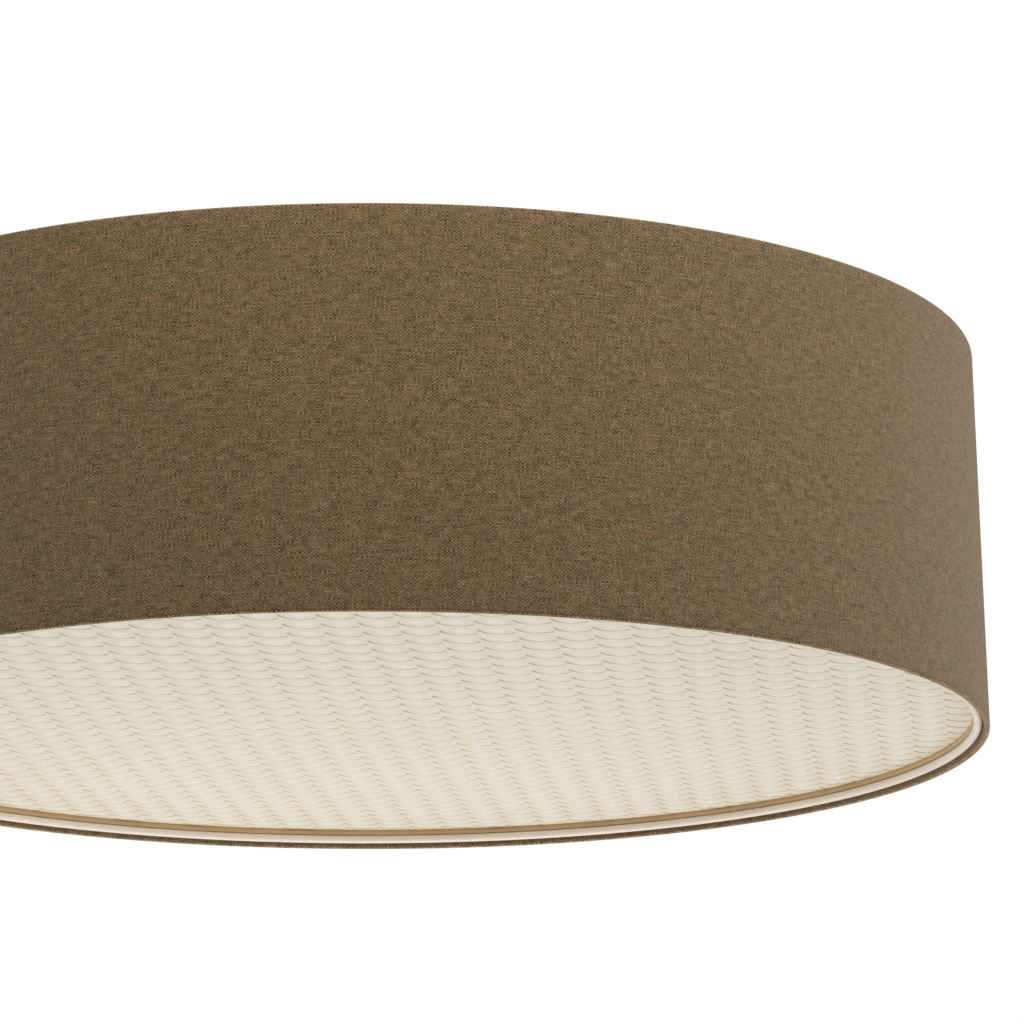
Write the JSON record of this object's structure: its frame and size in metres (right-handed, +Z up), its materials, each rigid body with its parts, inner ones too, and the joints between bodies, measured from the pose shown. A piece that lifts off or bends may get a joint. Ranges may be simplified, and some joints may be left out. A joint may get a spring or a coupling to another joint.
{
  "type": "flush mount ceiling light",
  "caption": "Flush mount ceiling light: tapered fabric drum shade with turned-in edges over a ceiling pan with lampholders, and a dimpled diffuser laid inside its lower ring.",
  "frame": {"origin": "middle of the ceiling bracket's upper face, on the ceiling", "axes": "+Z up, towards the ceiling; the light hangs in -Z; +X along the ceiling bracket; -Y is the front"},
  "size_m": [0.4999, 0.5, 0.159],
  "materials": {
    "linen_fabric": "woven, plain weave",
    "white_lining": "smooth film",
    "white_coated_wire": "powder coated",
    "ivory_acrylic": "dimpled, satin",
    "brown_felt": "pressed felt",
    "white_steel": "powder coated",
    "zinc_steel": "zinc plated",
    "nickel_steel": "nickel plated",
    "brass": "plain",
    "glazed_ceramic": "glazed white",
    "lamp_cap_metal": "rolled",
    "white_lamp_plastic": "moulded",
    "opal_lamp": "opal satin",
    "black_rubber": "moulded",
    "sleeve_white": "braided glass sleeve",
    "earth_green_yellow": "green and yellow insulation",
    "natural_nylon": "moulded"
  },
  "bodies": {
    "ceiling_pan": {"ceiling_bracket": "zinc_steel", "mounting_studs": "zinc_steel", "pan_washers": "zinc_steel", "cap_nuts": "nickel_steel", "ceiling_pan": "white_steel", "bracket_rivets": "zinc_steel", "holder_nipples": "zinc_steel", "nipple_nuts": "zinc_steel", "centre_contacts": "brass", "lamp_bracket_1": "zinc_steel", "lampholder_1": "glazed_ceramic", "holder_shell_1": "brass", "lamp_lead_1": "sleeve_white", "lamp_bracket_2": "zinc_steel", "lampholder_2": "glazed_ceramic", "holder_shell_2": "brass", "lamp_lead_2": "sleeve_white", "lamp_bracket_3": "zinc_steel", "lampholder_3": "glazed_ceramic", "holder_shell_3": "brass", "lamp_lead_3": "sleeve_white", "grommet": "black_rubber", "terminal_block": "natural_nylon", "terminal_screws": "zinc_steel", "block_screw": "zinc_steel", "earth_screw": "brass", "earth_nut": "zinc_steel", "earth_tag": "nickel_steel", "earth_lead": "earth_green_yellow"},
    "shade": {"fabric_skin": "linen_fabric", "shade_lining": "white_lining", "top_ring": "white_coated_wire", "bottom_ring": "white_coated_wire", "gallery_band": "white_coated_wire", "carrier_arms": "white_coated_wire", "screw_bosses": "white_coated_wire", "seat_strip": "brown_felt"},
    "diffuser": {"diffuser": "ivory_acrylic"},
    "lamp_1": {"lamp_cap_1": "lamp_cap_metal", "lamp_body_1": "white_lamp_plastic", "lamp_globe_1": "opal_lamp"},
    "lamp_2": {"lamp_cap_2": "lamp_cap_metal", "lamp_body_2": "white_lamp_plastic", "lamp_globe_2": "opal_lamp"},
    "lamp_3": {"lamp_cap_3": "lamp_cap_metal", "lamp_body_3": "white_lamp_plastic", "lamp_globe_3": "opal_lamp"},
    "knurled_screw_1": {"knurled_screw_1": "nickel_steel"},
    "knurled_screw_2": {"knurled_screw_2": "nickel_steel"},
    "knurled_screw_3": {"knurled_screw_3": "nickel_steel"}
  },
  "joints": [
    {"name": "shade_drop", "type": "slide", "parent": "ceiling_pan", "child": "shade", "axis": [0, 0, -1], "range_m": [0, 0.13]},
    {"name": "diffuser_lift", "type": "slide", "parent": "shade", "child": "diffuser", "axis": [0, 0, 1], "range_m": [0, 0.03]},
    {"name": "lamp_1_out", "type": "slide", "parent": "ceiling_pan", "child": "lamp_1", "axis": [0.866, 0.5, 0], "range_m": [0, 0.026]},
    {"name": "lamp_2_out", "type": "slide", "parent": "ceiling_pan", "child": "lamp_2", "axis": [-0.866, 0.5, 0], "range_m": [0, 0.026]},
    {"name": "lamp_3_out", "type": "slide", "parent": "ceiling_pan", "child": "lamp_3", "axis": [0, -1, 0], "range_m": [0, 0.026]},
    {"name": "knurled_screw_1_turn", "type": "hinge", "parent": "shade", "child": "knurled_screw_1", "pos_m": [0, 0.18, -0.017], "axis": [0, 1, 0], "range_deg": [0, 1080]},
    {"name": "knurled_screw_2_turn", "type": "hinge", "parent": "shade", "child": "knurled_screw_2", "pos_m": [-0.15588, -0.09, -0.017], "axis": [-0.866, -0.5, 0], "range_deg": [0, 1080]},
    {"name": "knurled_screw_3_turn", "type": "hinge", "parent": "shade", "child": "knurled_screw_3", "pos_m": [0.15588, -0.09, -0.017], "axis": [0.866, -0.5, 0], "range_deg": [0, 1080]}
  ]
}
